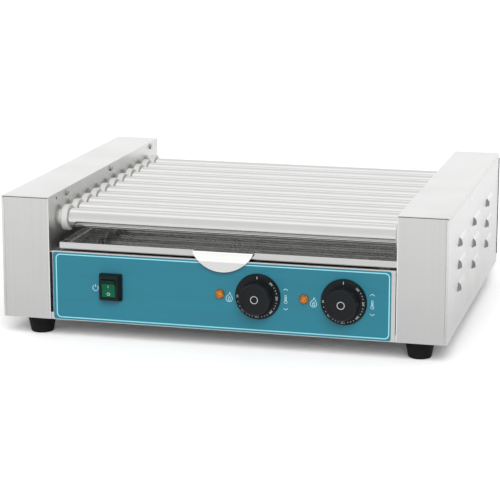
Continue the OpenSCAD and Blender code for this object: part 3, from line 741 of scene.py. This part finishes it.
def lettering(bm, text, height, centre, turn, surface):
    """Text on a surface facing -Y, its middle on centre and its top towards the angle turn, in degrees."""
    curve = bpy.data.curves.new("lettering", "FONT")
    curve.body = text
    curve.size = height / CAPITAL_SHARE
    curve.align_x = "CENTER"
    curve.align_y = "CENTER"
    curve.extrude = SKIN
    curve.resolution_u = 3
    holder = bpy.data.objects.new("lettering", curve)
    bpy.context.scene.collection.objects.link(holder)
    bpy.context.view_layer.update()
    mesh = bpy.data.meshes.new_from_object(holder.evaluated_get(bpy.context.evaluated_depsgraph_get()))
    bpy.data.objects.remove(holder)
    bpy.data.curves.remove(curve)
    stand_up = Matrix.Rotation(math.pi / 2, 4, "X")
    spin = Matrix.Rotation(math.radians(turn - 90.0), 4, "Z")
    mesh.transform(Matrix.Translation((centre[0], surface, centre[1])) @ stand_up @ spin)
    bm.from_mesh(mesh)
    bpy.data.meshes.remove(mesh)


DIAL_FIGURES = ((50, 180), (100, 225), (150, 270), (200, 315), (250, 0), (300, 45))
DIAL_DOTS = (31, 22.5, 14, -14, -22.5, -31, -59, -67.5, -76, -104, -112.5, -121, 210, 196)
FIGURE_HEIGHT = 2.5 * MM
FIGURE_RADIUS = 25.2 * MM
DIAL_DOT_RADIUS = 25.6 * MM
DIAL_DOT_SIZE = 0.55 * MM
TICK_FROM = 23.4 * MM
TICK_TO = 26.6 * MM
SKIRT_OUT = 5.5 * MM             # how far the dial skirt's face stands out of the overlay
CAP_OUT = 20.4 * MM
CAP_RING_RADIUS = 4.5 * MM


def add_dial_print(looks, knob):
    """White figures, dots and a tick on the dial skirt; they turn with the knob."""
    middle = middle_xz(knob)
    skirt = PANEL_Y - SKIRT_OUT
    tick = [on_circle(middle, TICK_FROM, 90), on_circle(middle, TICK_TO, 90)]
    bm = bmesh.new()
    for value, angle in DIAL_FIGURES:
        lettering(bm, str(value), FIGURE_HEIGHT, on_circle(middle, FIGURE_RADIUS, angle), angle, skirt)
    stroke(bm, tick, 0.8 * MM, skirt - SKIN, skirt + SKIN)
    for angle in DIAL_DOTS:
        add_dot(bm, on_circle(middle, DIAL_DOT_RADIUS, angle), DIAL_DOT_SIZE, skirt, sides=8)
    new_piece(knob + "_dial_print", bm, looks["white_ink"], knob + "_unit")


def add_cap_ring(looks, knob):
    """A plain ring on the knob's cap."""
    cap = PANEL_Y - CAP_OUT
    bm = bmesh.new()
    stroke(bm, circle(middle_xz(knob), CAP_RING_RADIUS, 48), 0.7 * MM, cap - SKIN, cap + SKIN, closed=True)
    new_piece(knob + "_cap_ring", bm, looks["white_ink"], knob + "_unit")


ROCKER_PIVOT = 6.5 * MM          # how far the rocker's pivot stands out of the overlay
ROCKER_TILT = math.radians(8.0)
ON_MARK = [([(0.0, -1.8), (0.0, 1.8)], False)]
OFF_MARK = [(circle((0.0, 0.0), 1.75, 24), True)]
# the rocker's faces as it is drawn level, in millimetres: the lower and the upper end, each as (place along Y
# from the pivot, height), how far above the face's middle its mark is, and the mark
ROCKER_FACES = (((-4.6, 0.0), (-6.8, 13.0), -2.8, ON_MARK),
                ((-6.8, -13.0), (-4.6, 0.0), 0.4, OFF_MARK))


def add_rocker_marks(looks):
    """The on and off marks on the rocker's two faces, which lean away from its pivot."""
    x, z = middle_xz("switch_body")
    tilted = Matrix.Translation((x, PANEL_Y - ROCKER_PIVOT, z)) @ Matrix.Rotation(ROCKER_TILT, 4, "X")
    bm = bmesh.new()
    for low, high, shift, sign in ROCKER_FACES:
        start = Vector((0.0, *low))
        end = Vector((0.0, *high))
        rise = (end - start).normalized()
        centre = (start + end) / 2 + rise * shift
        lean = Matrix.Rotation(math.atan2(-rise.y, rise.z), 4, "X")
        before = len(bm.verts)
        add_mark(bm, sign, (0.0, 0.0), 0.0, 0.55 * MM)
        bm.verts.ensure_lookup_table()
        place = tilted @ Matrix.Translation(centre * MM) @ lean
        bmesh.ops.transform(bm, matrix=place, verts=bm.verts[before:])
    new_piece("rocker_marks", bm, looks["white_ink"], "rocker")


# ---------------------------------------------------------------- lamps

# half the lens's section: (radius, distance out of the overlay), in millimetres
LENS_PROFILE = ((5.0, -1.4), (5.0, 0.0), (6.5, 0.0), (6.5, 1.0), (5.9, 1.9), (4.0, 3.3), (2.0, 3.9),
                (0.0, 4.1))
LENS_RADIUS = 6.5 * MM
LENS_FACETS = 16


def add_lamp_lenses(looks):
    """Faceted amber lenses in place of the plain domes."""
    lo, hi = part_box("lamp_lenses")
    z = middle_xz("lamp_lenses")[1]
    profile = [(radius * MM, out * MM) for radius, out in LENS_PROFILE]
    bm = bmesh.new()
    for x in (lo.x + LENS_RADIUS, hi.x - LENS_RADIUS):
        lathe(bm, profile, (x, PANEL_Y, z), LENS_FACETS)
    new_piece("lamp_lens_facets", bm, looks["amber"], "chassis", replaces=("lamp_lenses",))


# ---------------------------------------------------------------- edge strips and painted seam shadow

LOUVRE_OUT = 4.0 * MM            # how far the louvres stand out of an end cover


def add_rear_edge(looks, side):
    """A black strip on an end cover's rear upright edge."""
    lo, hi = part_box(side + "_end_cover")
    x = hi.x - LOUVRE_OUT if side == "right" else lo.x + LOUVRE_OUT
    low = (x - 0.6 * MM, lo.z + 12.0 * MM)
    high = (x + 0.6 * MM, hi.z - 7.0 * MM)
    bm = bmesh.new()
    prism(bm, round_rectangle(low, high, 0.5 * MM, steps=4), hi.y - 1.8 * MM, hi.y + 0.3 * MM)
    new_piece(side + "_rear_edge", bm, looks["rubber"], "chassis")


def add_front_seam(looks, side):
    """A black strip in the seam between a side frame's front face and the cover's top sheet: a painted shadow
    in the gap.
    """
    lo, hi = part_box(side + "_side_frame")
    low = (lo.x + 0.5 * MM, hi.z - 0.8 * MM)
    high = (hi.x - 0.5 * MM, hi.z)
    bm = bmesh.new()
    prism(bm, round_rectangle(low, high, 0.3 * MM, steps=3), lo.y - 0.1 * MM, lo.y + 0.6 * MM)
    new_piece(side + "_seam_shadow_strip", bm, looks["rubber"], "chassis")


# ---------------------------------------------------------------- the script

bpy.context.scene.view_settings.view_transform = "Standard"
add_camera()
add_world()
add_sun()
add_floor()
materials = make_materials()
dress_cad_nodes(materials)
add_overlay_outline(materials)
add_overlay_signs(materials)
for knob_name in KNOBS:
    add_dial_print(materials, knob_name)
    add_cap_ring(materials, knob_name)
add_rocker_marks(materials)
add_lamp_lenses(materials)
for side_name in SIDES:
    add_rear_edge(materials, side_name)
    add_front_seam(materials, side_name)
